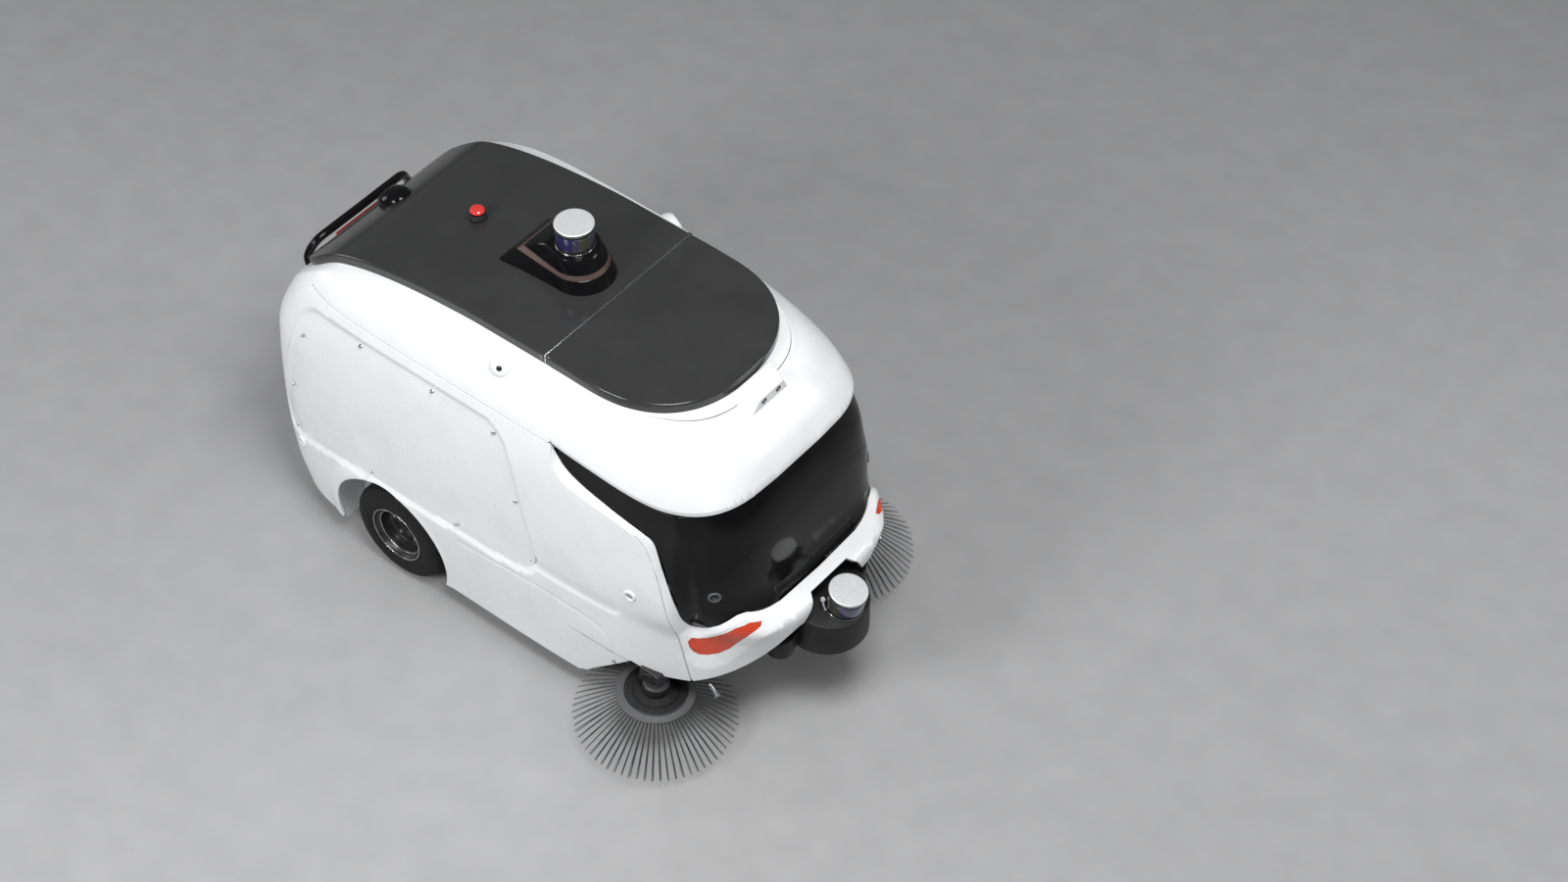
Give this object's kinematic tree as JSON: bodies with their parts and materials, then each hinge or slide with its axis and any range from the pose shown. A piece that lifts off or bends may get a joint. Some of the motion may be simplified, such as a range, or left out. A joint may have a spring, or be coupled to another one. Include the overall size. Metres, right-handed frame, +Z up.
{
  "type": "robotic floor cleaner",
  "caption": "Autonomous outdoor sweeper with side brushes, a main roller, a drawer hopper, a steered front wheel, lidars and a smooth rounded body shell.",
  "frame": {"origin": "centre of the footprint at ground level", "axes": "+X direction of travel, +Y left, +Z up"},
  "size_m": [1.7706, 1.1886, 1.205],
  "materials": {
    "white_panel": "glossy white moulded panel",
    "black_gloss": "gloss black",
    "black_plastic": "satin black",
    "tyre_rubber": "matte rubber",
    "rim_metal": "satin black paint",
    "silver_metal": "fine bead-blasted",
    "sensor_window": "dark infrared-pass window",
    "orange_reflector": "ribbed reflector",
    "red_button": "glossy red",
    "bristle": "stiff bristle",
    "grey_moulding": "moulded grey",
    "frame_aluminium": "dark satin",
    "steel": "bare steel",
    "motor_case": "black paint",
    "arm_metal": "black paint"
  },
  "bodies": {
    "body": {"hood": "white_panel", "front_bumper": "white_panel", "rear_shell": "white_panel", "side_body_right": "white_panel", "side_body_left": "white_panel", "side_panel_right": "white_panel", "side_panel_left": "white_panel", "stereo_camera": "white_panel", "side_camera_right": "white_panel", "side_camera_left": "white_panel", "windshield": "black_gloss", "roof_cover": "black_gloss", "lidar_fairing": "black_gloss", "rear_camera": "black_gloss", "push_handle": "black_gloss", "front_pod": "black_plastic", "estop_collar": "black_plastic", "battery_pack": "black_plastic", "fan_housing": "black_plastic", "roof_lidar_housing": "silver_metal", "front_lidar_housing": "silver_metal", "roof_lidar_window": "sensor_window", "front_lidar_window": "sensor_window", "light_right": "orange_reflector", "light_left": "orange_reflector", "water_tank": "grey_moulding", "chassis_frame": "frame_aluminium", "upper_frame": "frame_aluminium", "control_box": "frame_aluminium", "drive_motor_right": "motor_case", "drive_motor_left": "motor_case", "steering_motor": "motor_case"},
    "front_lid": {"front_lid": "black_gloss"},
    "estop": {"estop_button": "red_button"},
    "roof_rotor": {"roof_lidar_rotor": "black_plastic"},
    "front_rotor": {"front_lidar_rotor": "black_plastic"},
    "steering": {"steering_fork": "steel", "steering_gear": "steel"},
    "pinion": {"steering_pinion": "steel"},
    "front_wheel": {"front_tyre": "tyre_rubber", "front_rim": "rim_metal"},
    "rear_wheel_right": {"rear_tyre_right": "tyre_rubber", "rear_rim_right": "rim_metal"},
    "rear_wheel_left": {"rear_tyre_left": "tyre_rubber", "rear_rim_left": "rim_metal"},
    "brush_lift_right": {"brush_arm_right": "arm_metal", "brush_motor_right": "black_plastic"},
    "brush_right": {"brush_disc_right": "black_plastic", "brush_bristles_right": "bristle"},
    "brush_lift_left": {"brush_arm_left": "arm_metal", "brush_motor_left": "black_plastic"},
    "brush_left": {"brush_disc_left": "black_plastic", "brush_bristles_left": "bristle"},
    "roller_lift": {"roller_arm": "steel", "roller_motor": "motor_case"},
    "roller": {"roller_core": "frame_aluminium", "roller_bristles": "bristle"},
    "hopper": {"hopper_bin": "grey_moulding", "hopper_hatch": "white_panel"},
    "fan": {"fan_impeller": "black_plastic"}
  },
  "joints": [
    {"name": "front_lid_hinge", "type": "hinge", "parent": "body", "child": "front_lid", "pos_m": [0.0957, 0, 1.0455], "axis": [0, -1, 0], "range_deg": [0, 75]},
    {"name": "estop_press", "type": "slide", "parent": "body", "child": "estop", "axis": [0, 0, -1], "range_m": [0, 0.005]},
    {"name": "roof_lidar_spin", "type": "hinge", "parent": "body", "child": "roof_rotor", "pos_m": [-0.0463, 0, 1.167], "axis": [0, 0, 1], "continuous": true},
    {"name": "front_lidar_spin", "type": "hinge", "parent": "body", "child": "front_rotor", "pos_m": [0.8217, 0, 0.38], "axis": [0.1822, 0, 0.9833], "continuous": true},
    {"name": "steering_turn", "type": "hinge", "parent": "body", "child": "steering", "pos_m": [0.3897, 0, 0.35], "axis": [0, 0, 1], "range_deg": [-55, 55]},
    {"name": "pinion_turn", "type": "hinge", "parent": "body", "child": "pinion", "pos_m": [0.4497, 0, 0.392], "axis": [0, 0, 1], "range_deg": [-166, 166]},
    {"name": "front_wheel_roll", "type": "hinge", "parent": "steering", "child": "front_wheel", "pos_m": [0.3897, 0, 0.11], "axis": [0, 1, 0], "continuous": true},
    {"name": "rear_wheel_roll_right", "type": "hinge", "parent": "body", "child": "rear_wheel_right", "pos_m": [-0.3853, -0.37, 0.149], "axis": [0, 1, 0], "continuous": true},
    {"name": "rear_wheel_roll_left", "type": "hinge", "parent": "body", "child": "rear_wheel_left", "pos_m": [-0.3853, 0.37, 0.149], "axis": [0, 1, 0], "continuous": true},
    {"name": "brush_lift_right", "type": "hinge", "parent": "body", "child": "brush_lift_right", "pos_m": [0.3397, -0.25, 0.25], "axis": [0, 1, 0], "range_deg": [-3, 3]},
    {"name": "brush_spin_right", "type": "hinge", "parent": "brush_lift_right", "child": "brush_right", "pos_m": [0.4957, -0.373, 0.046], "axis": [0.068, -0.0192, 0.9975], "continuous": true},
    {"name": "brush_lift_left", "type": "hinge", "parent": "body", "child": "brush_lift_left", "pos_m": [0.3397, 0.25, 0.25], "axis": [0, 1, 0], "range_deg": [-3, 3]},
    {"name": "brush_spin_left", "type": "hinge", "parent": "brush_lift_left", "child": "brush_left", "pos_m": [0.4957, 0.373, 0.046], "axis": [0.068, 0.0192, 0.9975], "continuous": true},
    {"name": "roller_lift", "type": "hinge", "parent": "body", "child": "roller_lift", "pos_m": [-0.1803, 0, 0.3], "axis": [0, -1, 0], "range_deg": [-2, 8]},
    {"name": "roller_spin", "type": "hinge", "parent": "roller_lift", "child": "roller", "pos_m": [-0.0503, 0, 0.118], "axis": [0, 1, 0], "continuous": true},
    {"name": "hopper_slide", "type": "slide", "parent": "body", "child": "hopper", "axis": [-1, 0, 0], "range_m": [0, 0.35]},
    {"name": "fan_spin", "type": "hinge", "parent": "body", "child": "fan", "pos_m": [-0.5503, 0, 0.42], "axis": [0, 0, 1], "continuous": true}
  ],
  "couplings": [
    {"joint": "pinion_turn", "follows": "steering_turn", "ratio": -3}
  ]
}
